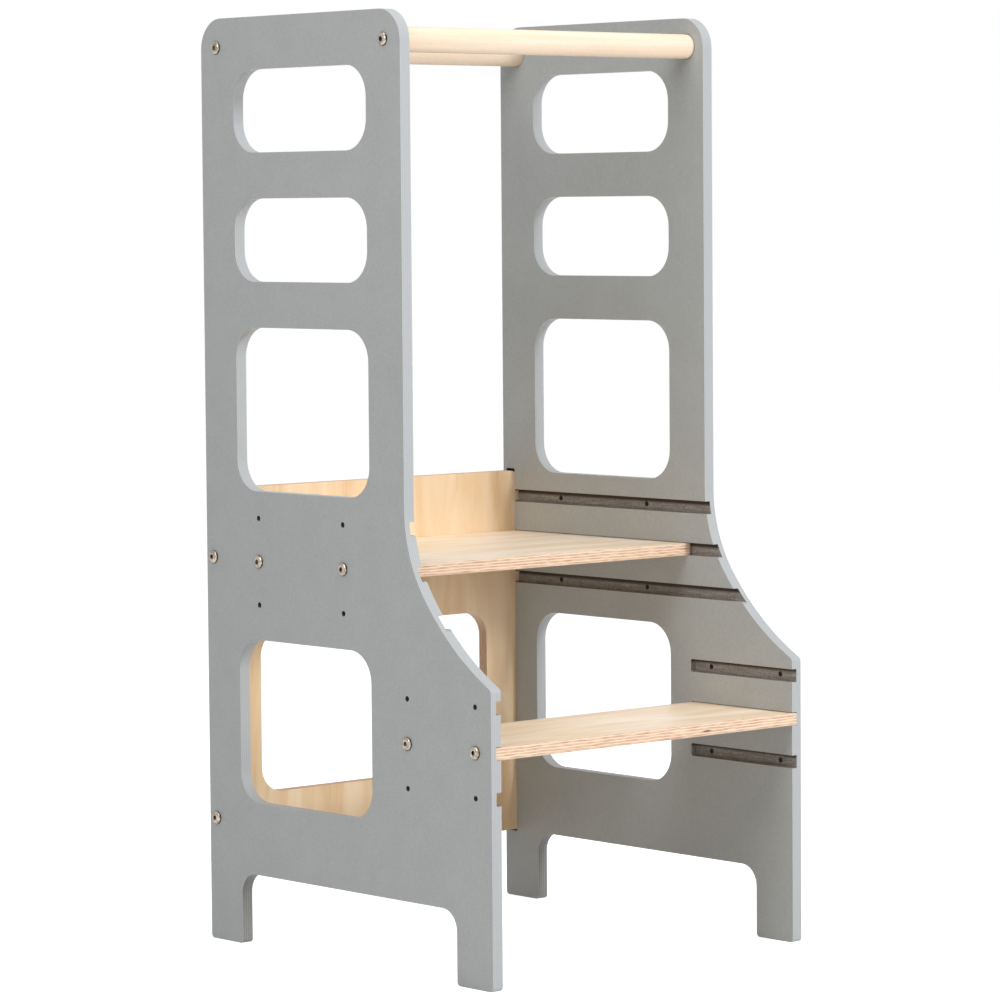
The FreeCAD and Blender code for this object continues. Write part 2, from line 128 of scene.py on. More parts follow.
def paintedEdge(name, middle, pale, dark):
    # the same paint on the cut edges, with the plies' lines under it and the grain raised, so it
    # looks a little rough
    material, tree = newFinish(name)
    place = addNode(tree, "ShaderNodeTexCoord").outputs["Object"]
    across = addNode(tree, "ShaderNodeMapping", None, {
        "Vector": place, "Location": (-middle / paint["ply"], 0, 0),
        "Scale": stretched((paint["ply"], paint["drift"]), 0)})
    wander = addNode(tree, "ShaderNodeTexNoise", None, {
        "Vector": across.outputs["Vector"], "Scale": 0.9, "Detail": 2})
    apart = addNode(tree, "ShaderNodeSeparateXYZ", None, {"Vector": across.outputs["Vector"]})
    bent = addNode(tree, "ShaderNodeMath", {"operation": "MULTIPLY_ADD"}, {
        0: wander.outputs["Fac"], 1: paint["bend"], 2: apart.outputs["X"]})
    lines = addNode(tree, "ShaderNodeMath", {"operation": "PINGPONG"}, {
        0: bent.outputs["Value"], 1: 1})
    grit = addNode(tree, "ShaderNodeTexNoise", None, {
        "Vector": place, "Scale": 1 / paint["grit"], "Detail": 3})
    rough = addNode(tree, "ShaderNodeMath", {"operation": "MULTIPLY"}, {
        0: lines.outputs["Value"], 1: grit.outputs["Fac"]})
    colour = addNode(tree, "ShaderNodeMix", {"data_type": "RGBA"}, {
        0: rough.outputs["Value"], 6: linear(pale), 7: linear(dark)})
    bump = addNode(tree, "ShaderNodeBump", None, {
        "Height": rough.outputs["Value"], "Strength": 0.5, "Distance": 0.1 * mm})
    shader = addNode(tree, "ShaderNodeBsdfPrincipled", None, {
        "Base Color": colour.outputs[2], "Roughness": 0.5,
        "Normal": bump.outputs["Normal"]})
    addNode(tree, "ShaderNodeOutputMaterial", None, {"Surface": shader.outputs["BSDF"]})
    return material


groove = {
    "platformSeat": 328 * mm,      # lower side of the lowest one, over the ground
    "stepSeat": 170.5 * mm,
    "count": 3,
    "pitch": 42 * mm,              # from one groove up to the next
    "height": 12.6 * mm,
    "depth": 6 * mm,
    "endRadius": 2 * mm,           # the stopped ends aren't quite square
    "dark": "#5e564c",             # dust between torn fibres
    "mid": "#8c8680",              # thin spray
    "pale": "#aeaaa3",             # where the spray took well
    "lipShadow": "#463b30",             # painted shadow under the upper lip
    "fibre": (22 * mm, 1.6 * mm),  # torn fibres lie along the cutter's path
    "grain": 1.5 * mm,
    "platformUnshaded": 8.2 * mm,   # height in a groove where the painted shadow of the upper lip begins
    "stepUnshaded": 9.6 * mm,
    "shadowFade": 2.4 * mm,              # from unshaded to the painted shadow
    "ragged": 2 * mm,              # how far that line wanders
    "holeDark": "#2c241d",         # walls of the drilled holes, in shade and dusty
    "holePale": "#5d544a",
}


def routedGroove(name, seat, unshadedHeight):
    # birch ply routed half through and sprayed thinly: torn fibres hold dark dust, so the
    # floor is rough, brownish grey and streaked; under the upper lip a brown band is painted
    # as the lip's shadow
    material, tree = newFinish(name)
    place = addNode(tree, "ShaderNodeTexCoord").outputs["Object"]
    along = addNode(tree, "ShaderNodeMapping", None, {
        "Vector": place, "Scale": stretched(groove["fibre"], 1)})
    fibres = addNode(tree, "ShaderNodeTexNoise", None, {
        "Vector": along.outputs["Vector"], "Scale": 1, "Detail": 4, "Roughness": 0.6})
    specks = addNode(tree, "ShaderNodeTexNoise", None, {
        "Vector": place, "Scale": 1 / groove["grain"], "Detail": 3})
    first = addNode(tree, "ShaderNodeMapRange", None, {
        "Value": fibres.outputs["Fac"], "From Min": 0.35, "From Max": 0.65})
    second = addNode(tree, "ShaderNodeMapRange", None, {
        "Value": specks.outputs["Fac"], "From Min": 0.2, "From Max": 0.6, "To Min": 0.2})
    base = addNode(tree, "ShaderNodeMix", {"data_type": "RGBA"}, {
        0: first.outputs["Result"], 6: linear(groove["mid"]), 7: linear(groove["pale"])})
    floor = addNode(tree, "ShaderNodeMix", {"data_type": "RGBA"}, {
        0: second.outputs["Result"], 6: linear(groove["dark"]), 7: base.outputs[2]})
    # painted shadow: a brown band under each groove's upper lip, its lower edge wandering with
    # the fibres
    apart = addNode(tree, "ShaderNodeSeparateXYZ", None, {"Vector": place})
    ragged = addNode(tree, "ShaderNodeMath", {"operation": "MULTIPLY_ADD"}, {
        0: fibres.outputs["Fac"], 1: groove["ragged"], 2: apart.outputs["Z"]})
    above = addNode(tree, "ShaderNodeMath", {"operation": "WRAP"}, {
        0: ragged.outputs["Value"], 1: seat + groove["pitch"], 2: seat})
    lipShadow = addNode(tree, "ShaderNodeMapRange", None, {
        "Value": above.outputs["Value"], "From Min": seat + unshadedHeight,
        "From Max": seat + unshadedHeight + groove["shadowFade"]})
    colour = addNode(tree, "ShaderNodeMix", {"data_type": "RGBA"}, {
        0: lipShadow.outputs["Result"], 6: floor.outputs[2], 7: linear(groove["lipShadow"])})
    bump = addNode(tree, "ShaderNodeBump", None, {
        "Height": specks.outputs["Fac"], "Strength": 0.6, "Distance": 0.2 * mm})
    shader = addNode(tree, "ShaderNodeBsdfPrincipled", None, {
        "Base Color": colour.outputs[2], "Roughness": 0.85,
        "Normal": bump.outputs["Normal"]})
    addNode(tree, "ShaderNodeOutputMaterial", None, {"Surface": shader.outputs["BSDF"]})
    return material


def drilledHole():
    # the walls of a hole drilled through painted ply: raw, torn across the plies, and dark with
    # dust and with painted shade
    material, tree = newFinish("drilledPlyHole")
    place = addNode(tree, "ShaderNodeTexCoord").outputs["Object"]
    torn = addNode(tree, "ShaderNodeTexNoise", None, {
        "Vector": place, "Scale": 1 / groove["grain"], "Detail": 3})
    colour = addNode(tree, "ShaderNodeMix", {"data_type": "RGBA"}, {
        0: torn.outputs["Fac"], 6: linear(groove["holeDark"]), 7: linear(groove["holePale"])})
    bump = addNode(tree, "ShaderNodeBump", None, {
        "Height": torn.outputs["Fac"], "Strength": 0.5, "Distance": 0.2 * mm})
    shader = addNode(tree, "ShaderNodeBsdfPrincipled", None, {
        "Base Color": colour.outputs[2], "Roughness": 0.9,
        "Normal": bump.outputs["Normal"]})
    addNode(tree, "ShaderNodeOutputMaterial", None, {"Surface": shader.outputs["BSDF"]})
    return material


birch = {
    "pale": "#ebd3b2",               # the back
    "warm": "#dab689",
    "levelPaleLit": "#f8e8d6",          # the platform and the step: the same veneer, painted paler as the light and sheen on their tops
    "levelWarmLit": "#e7cca6",
    "fleck": "#c08f5c",
    "figure": (230 * mm, 34 * mm),   # long slow streaks of rotary-cut veneer
    "fibre": (26 * mm, 0.9 * mm),    # fine fibres
    "fleckSize": (5 * mm, 0.5 * mm),
    "lateWood": "#bb8a6c",           # cross plies at a cut edge show darker end grain
    "earlyWood": "#e9d0b5",
    "backWood": "#deba94",           # the back panel's edges are less pale
    "glue": "#8c5a48",
    "ply": 12 / 9 * mm,              # nine plies in 12 mm
    "wander": 30 * mm,               # the plies bend slowly along an edge
    "bend": 0.8,                     # by up to this many plies
    "glueWidth": 0.09,               # half of a glue line, in plies
    "dash": (1.5 * mm, 16 * mm),     # the dark lines come and go along the edge
    "knot": "#4a3226",
    "knotSize": (7 * mm, 5 * mm, 1.3 * mm),
}


def birchFace(name, grainAxis, pale, warm):
    # clear-lacquered rotary-cut birch veneer: creamy, with long slow streaks, fine fibres and
    # a few short brown flecks, all along the grain; a low satin gloss
    material, tree = newFinish(name)
    place = addNode(tree, "ShaderNodeTexCoord").outputs["Object"]
    slowPlace = addNode(tree, "ShaderNodeMapping", None, {
        "Vector": place, "Scale": stretched(birch["figure"], grainAxis)})
    figure = addNode(tree, "ShaderNodeTexNoise", None, {
        "Vector": slowPlace.outputs["Vector"], "Scale": 1, "Detail": 3, "Distortion": 1.2})
    finePlace = addNode(tree, "ShaderNodeMapping", None, {
        "Vector": place, "Scale": stretched(birch["fibre"], grainAxis)})
    fibre = addNode(tree, "ShaderNodeTexNoise", None, {
        "Vector": finePlace.outputs["Vector"], "Scale": 1, "Detail": 3, "Roughness": 0.6})
    spotPlace = addNode(tree, "ShaderNodeMapping", None, {
        "Vector": place, "Scale": stretched(birch["fleckSize"], grainAxis)})
    spots = addNode(tree, "ShaderNodeTexNoise", None, {
        "Vector": spotPlace.outputs["Vector"], "Scale": 1, "Detail": 1})
    slow = addNode(tree, "ShaderNodeMapRange", None, {
        "Value": figure.outputs["Fac"], "From Min": 0.36, "From Max": 0.66})
    fine = addNode(tree, "ShaderNodeMapRange", None, {
        "Value": fibre.outputs["Fac"], "From Min": 0.35, "From Max": 0.75, "To Max": 0.45})
    dots = addNode(tree, "ShaderNodeMapRange", None, {
        "Value": spots.outputs["Fac"], "From Min": 0.72, "From Max": 0.8, "To Max": 0.5})
    base = addNode(tree, "ShaderNodeMix", {"data_type": "RGBA"}, {
        0: slow.outputs["Result"], 6: linear(pale), 7: linear(warm)})
    grained = addNode(tree, "ShaderNodeMix", {"data_type": "RGBA"}, {
        0: fine.outputs["Result"], 6: base.outputs[2], 7: linear(pale)})
    colour = addNode(tree, "ShaderNodeMix", {"data_type": "RGBA"}, {
        0: dots.outputs["Result"], 6: grained.outputs[2], 7: linear(birch["fleck"])})
    bump = addNode(tree, "ShaderNodeBump", None, {
        "Height": fibre.outputs["Fac"], "Strength": 0.3, "Distance": 0.05 * mm})
    shader = addNode(tree, "ShaderNodeBsdfPrincipled", None, {
        "Base Color": colour.outputs[2], "Roughness": 0.42,
        "Normal": bump.outputs["Normal"]})
    addNode(tree, "ShaderNodeOutputMaterial", None, {"Surface": shader.outputs["BSDF"]})
    return material


def birchEdge(name, thickAxis, middle, early, knot):
    # the sanded and lacquered edge of nine-ply birch: pale plies cut along the grain, darker
    # ones cut across it, and thin brown glue lines that break up where the plies wander
    material, tree = newFinish(name)
    place = addNode(tree, "ShaderNodeTexCoord").outputs["Object"]
    location = [0, 0, 0]
    location[thickAxis] = -middle / birch["ply"]
    layered = addNode(tree, "ShaderNodeMapping", None, {
        "Vector": place, "Location": location,
        "Scale": stretched((birch["ply"], birch["wander"]), thickAxis)})
    wander = addNode(tree, "ShaderNodeTexNoise", None, {
        "Vector": layered.outputs["Vector"], "Scale": 0.9, "Detail": 3})
    apart = addNode(tree, "ShaderNodeSeparateXYZ", None, {"Vector": layered.outputs["Vector"]})
    bent = addNode(tree, "ShaderNodeMath", {"operation": "MULTIPLY_ADD"}, {
        0: wander.outputs["Fac"], 1: birch["bend"], 2: apart.outputs["XYZ"[thickAxis]]})
    ply = addNode(tree, "ShaderNodeMath", {"operation": "PINGPONG"}, {
        0: bent.outputs["Value"], 1: 1})
    crossPly = addNode(tree, "ShaderNodeMapRange", None, {
        "Value": ply.outputs["Value"], "From Min": 0.45, "From Max": 0.6})
    glue = addNode(tree, "ShaderNodeMath", {"operation": "COMPARE"}, {
        0: ply.outputs["Value"], 1: 0.5, 2: birch["glueWidth"]})
    dashed = addNode(tree, "ShaderNodeMapping", None, {
        "Vector": place, "Scale": stretched(birch["dash"], thickAxis)})
    specks = addNode(tree, "ShaderNodeTexNoise", None, {
        "Vector": dashed.outputs["Vector"], "Scale": 1, "Detail": 3})
    endGrain = addNode(tree, "ShaderNodeMapRange", None, {
        "Value": specks.outputs["Fac"], "From Min": 0.35, "From Max": 0.65,
        "To Min": 0.15, "To Max": 0.9})
    share = addNode(tree, "ShaderNodeMath", {"operation": "MULTIPLY"}, {
        0: crossPly.outputs["Result"], 1: endGrain.outputs["Result"]})
    base = addNode(tree, "ShaderNodeMix", {"data_type": "RGBA"}, {
        0: share.outputs["Value"], 6: linear(early), 7: linear(birch["lateWood"])})
    lines = addNode(tree, "ShaderNodeMath", {"operation": "MULTIPLY"}, {
        0: glue.outputs["Value"], 1: endGrain.outputs["Result"]})
    lined = addNode(tree, "ShaderNodeMix", {"data_type": "RGBA"}, {
        0: lines.outputs["Value"], 6: base.outputs[2], 7: linear(birch["glue"])})
    # one small dark knot, cut through by the saw
    nearKnot = addNode(tree, "ShaderNodeMapping", None, {
        "Vector": place, "Location": [-k / size for k, size in zip(knot, birch["knotSize"])],
        "Scale": [1 / size for size in birch["knotSize"]]})
    reach = addNode(tree, "ShaderNodeVectorMath", {"operation": "LENGTH"}, {
        0: nearKnot.outputs["Vector"]})
    ragged = addNode(tree, "ShaderNodeMath", {"operation": "ADD"}, {
        0: reach.outputs["Value"], 1: specks.outputs["Fac"]})
    spot = addNode(tree, "ShaderNodeMapRange", None, {
        "Value": ragged.outputs["Value"], "From Min": 0.9, "From Max": 1.6,
        "To Min": 0.85, "To Max": 0})
    colour = addNode(tree, "ShaderNodeMix", {"data_type": "RGBA"}, {
        0: spot.outputs["Result"], 6: lined.outputs[2], 7: linear(birch["knot"])})
    bump = addNode(tree, "ShaderNodeBump", None, {
        "Height": share.outputs["Value"], "Strength": 0.4, "Distance": 0.12 * mm})
    shader = addNode(tree, "ShaderNodeBsdfPrincipled", None, {
        "Base Color": colour.outputs[2], "Roughness": 0.5,
        "Normal": bump.outputs["Normal"]})
    addNode(tree, "ShaderNodeOutputMaterial", None, {"Surface": shader.outputs["BSDF"]})
    return material


beech = {
    "pale": "#edd9c5",
    "warm": "#e5cdb3",
    "fleck": "#cfae88",
    "figure": (180 * mm, 5 * mm),      # streaks along the rail
    "fleckSize": (3 * mm, 0.5 * mm),   # the short rays that mark beech
}


def turnedBeech():
    # beech dowel, turned, sanded and oiled thinly: very pale, with faint streaks along it and
    # short darker rays
    material, tree = newFinish("turnedPaleBeech")
    place = addNode(tree, "ShaderNodeTexCoord").outputs["Object"]
    along = addNode(tree, "ShaderNodeMapping", None, {
        "Vector": place, "Scale": stretched(beech["figure"], 0)})
    streaks = addNode(tree, "ShaderNodeTexNoise", None, {
        "Vector": along.outputs["Vector"], "Scale": 1, "Detail": 4})
    dashed = addNode(tree, "ShaderNodeMapping", None, {
        "Vector": place, "Scale": stretched(beech["fleckSize"], 0)})
    rays = addNode(tree, "ShaderNodeTexNoise", None, {
        "Vector": dashed.outputs["Vector"], "Scale": 1, "Detail": 1})
    slow = addNode(tree, "ShaderNodeMapRange", None, {
        "Value": streaks.outputs["Fac"], "From Min": 0.35, "From Max": 0.7})
    dots = addNode(tree, "ShaderNodeMapRange", None, {
        "Value": rays.outputs["Fac"], "From Min": 0.62, "From Max": 0.74, "To Max": 0.5})
    base = addNode(tree, "ShaderNodeMix", {"data_type": "RGBA"}, {
        0: slow.outputs["Result"], 6: linear(beech["pale"]), 7: linear(beech["warm"])})
    colour = addNode(tree, "ShaderNodeMix", {"data_type": "RGBA"}, {
        0: dots.outputs["Result"], 6: base.outputs[2], 7: linear(beech["fleck"])})
    bump = addNode(tree, "ShaderNodeBump", None, {
        "Height": rays.outputs["Fac"], "Strength": 0.2, "Distance": 0.05 * mm})
    shader = addNode(tree, "ShaderNodeBsdfPrincipled", None, {
        "Base Color": colour.outputs[2], "Roughness": 0.6,
        "Normal": bump.outputs["Normal"]})
    addNode(tree, "ShaderNodeOutputMaterial", None, {"Surface": shader.outputs["BSDF"]})
    return material


nickel = {
    "bright": "#baafa2",
    "dull": "#8f8478",
    "shadedRimBright": "#857b70",    # painted shade at the rim and in the socket: a darker copy of the plate
    "shadedRimDull": "#3c332b",
    "cloud": 3.2 * mm,         # patches of thinner plate
}


def platedNickel(name, bright, dull):
    # steel screws, cold formed, tumbled and nickel plated: a warm soft shine, cloudy where the
    # plate is thin
    material, tree = newFinish(name)
    place = addNode(tree, "ShaderNodeTexCoord").outputs["Object"]
    wear = addNode(tree, "ShaderNodeTexNoise", None, {
        "Vector": place, "Scale": 1 / nickel["cloud"], "Detail": 3})
    cloudy = addNode(tree, "ShaderNodeMapRange", None, {
        "Value": wear.outputs["Fac"], "From Min": 0.42, "From Max": 0.6})
    colour = addNode(tree, "ShaderNodeMix", {"data_type": "RGBA"}, {
        0: cloudy.outputs["Result"], 6: linear(bright), 7: linear(dull)})
    rough = addNode(tree, "ShaderNodeMapRange", None, {
        "Value": wear.outputs["Fac"], "To Min": 0.2, "To Max": 0.4})
    bump = addNode(tree, "ShaderNodeBump", None, {
        "Height": wear.outputs["Fac"], "Strength": 0.2, "Distance": 0.03 * mm})
    shader = addNode(tree, "ShaderNodeBsdfPrincipled", None, {
        "Base Color": colour.outputs[2], "Roughness": rough.outputs["Result"],
        "Normal": bump.outputs["Normal"], "Metallic": 1})
    addNode(tree, "ShaderNodeOutputMaterial", None, {"Surface": shader.outputs["BSDF"]})
    return material


finishes = {
    "paintedFace": paintedFace(),
    "platformGroove": routedGroove("routedPlyUpperGroove", groove["platformSeat"],
                                   groove["platformUnshaded"]),
    "stepGroove": routedGroove("routedPlyLowerGroove", groove["stepSeat"],
                               groove["stepUnshaded"]),
    "hole": drilledHole(),
    # the level boards' birch is painted paler: painted light on their tops
    "litLevelBirch": birchFace("lacqueredBirchAlongX", 0, birch["levelPaleLit"],
                            birch["levelWarmLit"]),
    "uprightBirch": birchFace("lacqueredBirchUpright", 2, birch["pale"], birch["warm"]),
    "beech": turnedBeech(),
    "nickel": platedNickel("tumbledNickelPlate", nickel["bright"], nickel["dull"]),
    # a darker copy of the plate, as painted shade
    "shadedNickelRim": platedNickel("nickelPaintedShade", nickel["shadedRimBright"], nickel["shadedRimDull"]),
}
print("finishes made:", len(finishes))


def addLoop(bm, corners):
    # a closed flat outline in the YZ plane: each corner is (y, z, radius), round where the
    # radius isn't 0
    verts = [bm.verts.new((0, y, z)) for y, z, radius in corners]
    face = bm.faces.new(verts)
    for radius in sorted({corner[2] for corner in corners} - {0}):
        chosen = [v for v, corner in zip(verts, corners) if corner[2] == radius and v.is_valid]
        steps = max(6, round(radius / arcStep))
        bmesh.ops.bevel(bm, geom=chosen, affect="VERTICES", offset=radius, segments=steps,
                        profile=0.5, material=-1, clamp_overlap=False)
    bmesh.ops.delete(bm, geom=bm.faces[:], context="FACES_ONLY")


def addWindow(bm, left, right, sill, head, radius):
    # a rounded opening in an outline: drawn apart, then laid into it
    opening = bmesh.new()
    addLoop(opening, [(left, sill, radius), (right, sill, radius), (right, head, radius),
                      (left, head, radius)])
    mesh = bpy.data.meshes.new("opening")
    opening.to_mesh(mesh)
    opening.free()
    bm.from_mesh(mesh)
    bpy.data.meshes.remove(mesh)


def fillAndThicken(bm, thickness):
    # fills the outlines, windows left open, and pulls the sheet out along +X
    bmesh.ops.triangle_fill(bm, use_beauty=True, edges=bm.edges[:], normal=(1, 0, 0))
    pulled = bmesh.ops.extrude_face_region(bm, geom=bm.faces[:])
    moved = [item for item in pulled["geom"] if isinstance(item, bmesh.types.BMVert)]
    bmesh.ops.translate(bm, verts=moved, vec=(thickness, 0, 0))
    bmesh.ops.recalc_face_normals(bm, faces=bm.faces[:])


def easeEdges(bm, size):
    # rounds every arris that turns by more than 60 degrees
    square = [e for e in bm.edges if e.is_manifold and e.calc_face_angle() > math.radians(60)]
    bmesh.ops.bevel(bm, geom=square, affect="EDGES", offset=size, segments=3,
                    profile=0.5, material=-1, clamp_overlap=True)


def closePiece(bm, name, materials, node):
    # turns a bmesh into a named piece that rides on the stool and stands for its CAD node
    mesh = bpy.data.meshes.new(name)
    bm.to_mesh(mesh)
    bm.free()
    for material in materials:
        mesh.materials.append(material)
    piece = bpy.data.objects.new(name, mesh)
    bpy.context.scene.collection.objects.link(piece)
    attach(piece, "root")
    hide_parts(node)
    return piece


def smoothPiece(piece, sharpAngle=50):
    # flat faces stay flat and rounded arrises run smoothly into them; the angle is in degrees
    piece.data.shade_smooth()
    piece.data.set_sharp_from_angle(angle=math.radians(sharpAngle))
    even = piece.modifiers.new("EvenNormals", "WEIGHTED_NORMAL")
    even.mode = "FACE_AREA"
    even.weight = 100
    even.keep_sharp = True


panel = {
    "topDepth": 300 * mm,
    "topRadius": 30 * mm,
    "footWidth": 50 * mm,
    "footRadius": 4 * mm,
    "archHeight": 70 * mm,
    "archRadius": 20 * mm,
    "curveStart": 438 * mm,       # height where the straight front edge ends
    "upperRadius": 137 * mm,
    "upperTurn": 37,              # degrees
    "lowerRadius": 276 * mm,
    "curveEndRadius": 5 * mm,
    "curveSteps": 24,             # in each of its two arcs
    "windowMargin": 50 * mm,
    "windowRadius": 30 * mm,
    # sill and head of each window, from the top
    "windows": [(770 * mm, 850 * mm), (646 * mm, 726 * mm), (444 * mm, 602 * mm),
                (140 * mm, 300 * mm)],
    "arris": 1.2 * mm,
    "facing": 0.9,                # a face that turns to X by more than this is a flat one
    "soleWidth": 9 * mm,          # at the feet's outer corners the paint is the edges' own
    "archMargin": 1 * mm,         # takes in the arris over the arch
    "platformGrooveEnd": 193 * mm,
    "stepGrooveEnd": -69 * mm,
    "platformHoles": (0 * mm, 128 * mm),      # places along Y
    "stepHoles": (-188 * mm, -92 * mm),
    "holeAboveSeat": 6 * mm,
    "holeRadius": 2.65 * mm,
    "holeSegments": 48,
    "housing": (192.8 * mm, 205.2 * mm, 68 * mm, 446 * mm),   # front, rear, bottom, top
    "railPlaces": (-66 * mm, 186 * mm),
    "railHeight": 872 * mm,
    "socketRadius": 12.5 * mm,
    "backPlace": 199 * mm,
    "backHoles": (120 * mm, 377 * mm),
    "overrun": 3 * mm,            # the cutters start and end this far outside the board
    "frontOverrun": 50 * mm,      # and the grooves' further, to clear the front edge
}
panelSlots = ("face", "edge", "platformGroove", "hole", "stepGroove", "arch")


def panelOutline(bm, low, high):
    # the whole outline but for the concave curve first, with a straight chord in its place
    front, rear, height = low.y, high.y, high.z
    topFront = rear - panel["topDepth"]
    footFront = front + panel["footWidth"]
    footRear = rear - panel["footWidth"]
    turn = math.radians(panel["upperTurn"])
    tightRadius, wideRadius = panel["upperRadius"], panel["lowerRadius"]
    tightY = topFront - tightRadius
    wideY = tightY + (tightRadius - wideRadius) * math.cos(turn)
    wideZ = panel["curveStart"] - (tightRadius - wideRadius) * math.sin(turn)
    endTurn = math.acos((front - wideY) / wideRadius)
    endZ = wideZ - wideRadius * math.sin(endTurn)
    foot, arch = panel["footRadius"], panel["archRadius"]
    corners = [
        (front, endZ, 0),
        (front, 0, foot), (footFront, 0, foot), (footFront, panel["archHeight"], arch),
        (footRear, panel["archHeight"], arch), (footRear, 0, foot), (rear, 0, foot),
        (rear, height, panel["topRadius"]), (topFront, height, panel["topRadius"]),
        (topFront, panel["curveStart"], 0),
    ]
    addLoop(bm, corners)
    ends = [v for v in bm.verts
            if (v.co.yz - Vector((topFront, panel["curveStart"]))).length < hair
            or (v.co.yz - Vector((front, endZ))).length < hair]
    chord = [e for e in bm.edges if e.verts[0] in ends and e.verts[1] in ends]
    bmesh.ops.delete(bm, geom=chord, context="EDGES")
    # the front curve: a vertex swung round the tight centre, then round the wide one
    tip = [max(ends, key=lambda v: v.co.z)]
    for centreY, centreZ, angle in ((tightY, panel["curveStart"], turn),
                                    (wideY, wideZ, endTurn - turn)):
        swung = bmesh.ops.spin(bm, geom=tip, cent=(0, centreY, centreZ), axis=(-1, 0, 0),
                               angle=angle, steps=panel["curveSteps"])
        tip = [item for item in swung["geom_last"] if isinstance(item, bmesh.types.BMVert)]
    bmesh.ops.remove_doubles(bm, verts=bm.verts[:], dist=hair)
    corner = [v for v in bm.verts if (v.co.yz - Vector((front, endZ))).length < hair]
    easing = panel["curveEndRadius"] * math.tan(endTurn / 2)
    bmesh.ops.bevel(bm, geom=corner, affect="VERTICES", offset=easing, segments=6,
                    profile=0.5, material=-1, clamp_overlap=False)


def cutterBox(bm, low, high, finish, endRadius=0):
    # a straight cutter's path, with its rear corners rounded where endRadius isn't 0
    size = Vector(high) - Vector(low)
    middle = (Vector(high) + Vector(low)) / 2
    made = bmesh.ops.create_cube(
        bm, size=1, matrix=Matrix.Translation(middle) @ Matrix.Diagonal((*size, 1)))
    for face in {f for v in made["verts"] for f in v.link_faces}:
        face.material_index = panelSlots.index(finish)
    if endRadius:
        ends = [e for e in {e for v in made["verts"] for e in v.link_edges}
                if min(v.co.y for v in e.verts) > middle.y
                and abs(e.verts[0].co.z - e.verts[1].co.z) < hair]
        bmesh.ops.bevel(bm, geom=ends, affect="EDGES", offset=endRadius, segments=5,
                        profile=0.5, material=-1)


def cutterPin(bm, near, far, y, z, radius, finish):
    # a drill's path along X
    turned = Matrix.Translation(((near + far) / 2, y, z)) @ Matrix.Rotation(math.pi / 2, 4, "Y")
    made = bmesh.ops.create_cone(bm, cap_ends=True, segments=panel["holeSegments"],
                                 radius1=radius, radius2=radius, depth=abs(far - near),
                                 matrix=turned)
    for face in {f for v in made["verts"] for f in v.link_faces}:
        face.material_index = panelSlots.index(finish)


def panelCutters(bm, side, inner, outer, front):
    # everything that the router and the drill take out from the inner face
    near = inner - side * panel["overrun"]
    far = outer + side * panel["overrun"]
    floor = inner + side * groove["depth"]
    lowX, highX = sorted((near, floor))
    start = front - panel["frontOverrun"]
    for shelf in ("platform", "step"):
        end = panel[shelf + "GrooveEnd"]
        for number in range(groove["count"]):
            seat = groove[shelf + "Seat"] + number * groove["pitch"]
            cutterBox(bm, (lowX, start, seat), (highX, end, seat + groove["height"]),
                      shelf + "Groove", groove["endRadius"])
            for y in panel[shelf + "Holes"]:
                cutterPin(bm, near, far, y, seat + panel["holeAboveSeat"],
                          panel["holeRadius"], "hole")
    housingFront, housingRear, bottom, top = panel["housing"]
    cutterBox(bm, (lowX, housingFront, bottom), (highX, housingRear, top), "platformGroove")
    for y in panel["railPlaces"]:
        cutterPin(bm, near, floor, y, panel["railHeight"], panel["socketRadius"],
                  "platformGroove")
        cutterPin(bm, near, far, y, panel["railHeight"], panel["holeRadius"], "hole")
    for z in panel["backHoles"]:
        cutterPin(bm, near, far, panel["backPlace"], z, panel["holeRadius"], "hole")


def makePanel(name, side):
    node = name + "_side_panel"
    low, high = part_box(node)
    bm = bmesh.new()
    panelOutline(bm, low, high)
    windowFront = high.y - panel["topDepth"] + panel["windowMargin"]
    windowRear = high.y - panel["windowMargin"]
    for sill, head in panel["windows"]:
        addWindow(bm, windowFront, windowRear, sill, head, panel["windowRadius"])
    fillAndThicken(bm, high.x - low.x)
    bmesh.ops.translate(bm, verts=bm.verts[:], vec=(low.x, 0, 0))
    easeEdges(bm, panel["arris"])
    for face in bm.faces:
        place = face.calc_center_median()
        fromEnd = min(place.y - low.y, high.y - place.y)
        inArch = (place.z < panel["archHeight"] + panel["archMargin"]
                  and fromEnd > panel["soleWidth"])
        isFlat = abs(face.normal.x) > panel["facing"]
        finish = "face" if isFlat else "arch" if inArch else "edge"
        face.material_index = panelSlots.index(finish)
    middle = (low.x + high.x) / 2
    edge = paintedEdge(f"rolledSatinPaint{name.title()}Edge", middle, paint["edge"],
                       paint["edgeLine"])
    # the arch's colours: thin paint on coarse end grain, and painted shade low between the feet
    arch = paintedEdge(f"thinPaintAndShade{name.title()}ArchEdge", middle, paint["arch"],
                       paint["archLine"])
    # in the order of panelSlots
    materials = [finishes["paintedFace"], edge, finishes["platformGroove"], finishes["hole"],
                 finishes["stepGroove"], arch]
    piece = closePiece(bm, name + "PanelBoard", materials, node)

    inner, outer = (high.x, low.x) if side < 0 else (low.x, high.x)
    tools = bmesh.new()
    panelCutters(tools, side, inner, outer, low.y)
    toolMesh = bpy.data.meshes.new(name + "Tools")
    tools.to_mesh(toolMesh)
    tools.free()
    for material in materials:
        toolMesh.materials.append(material)
    tool = bpy.data.objects.new(name + "Tools", toolMesh)
    bpy.context.scene.collection.objects.link(tool)
    cut = piece.modifiers.new("Cut", "BOOLEAN")
    cut.operation = "DIFFERENCE"
    cut.solver = "EXACT"
    cut.use_self = True
    cut.material_mode = "INDEX"
    cut.object = tool
    whole = piece.evaluated_get(bpy.context.evaluated_depsgraph_get())
    uncut = piece.data
    piece.data = bpy.data.meshes.new_from_object(whole)
    piece.modifiers.clear()
    bpy.data.objects.remove(tool)
    for mesh in (uncut, toolMesh):
        bpy.data.meshes.remove(mesh)
    smoothPiece(piece)
    print(name, "panel:", len(piece.data.polygons), "faces")


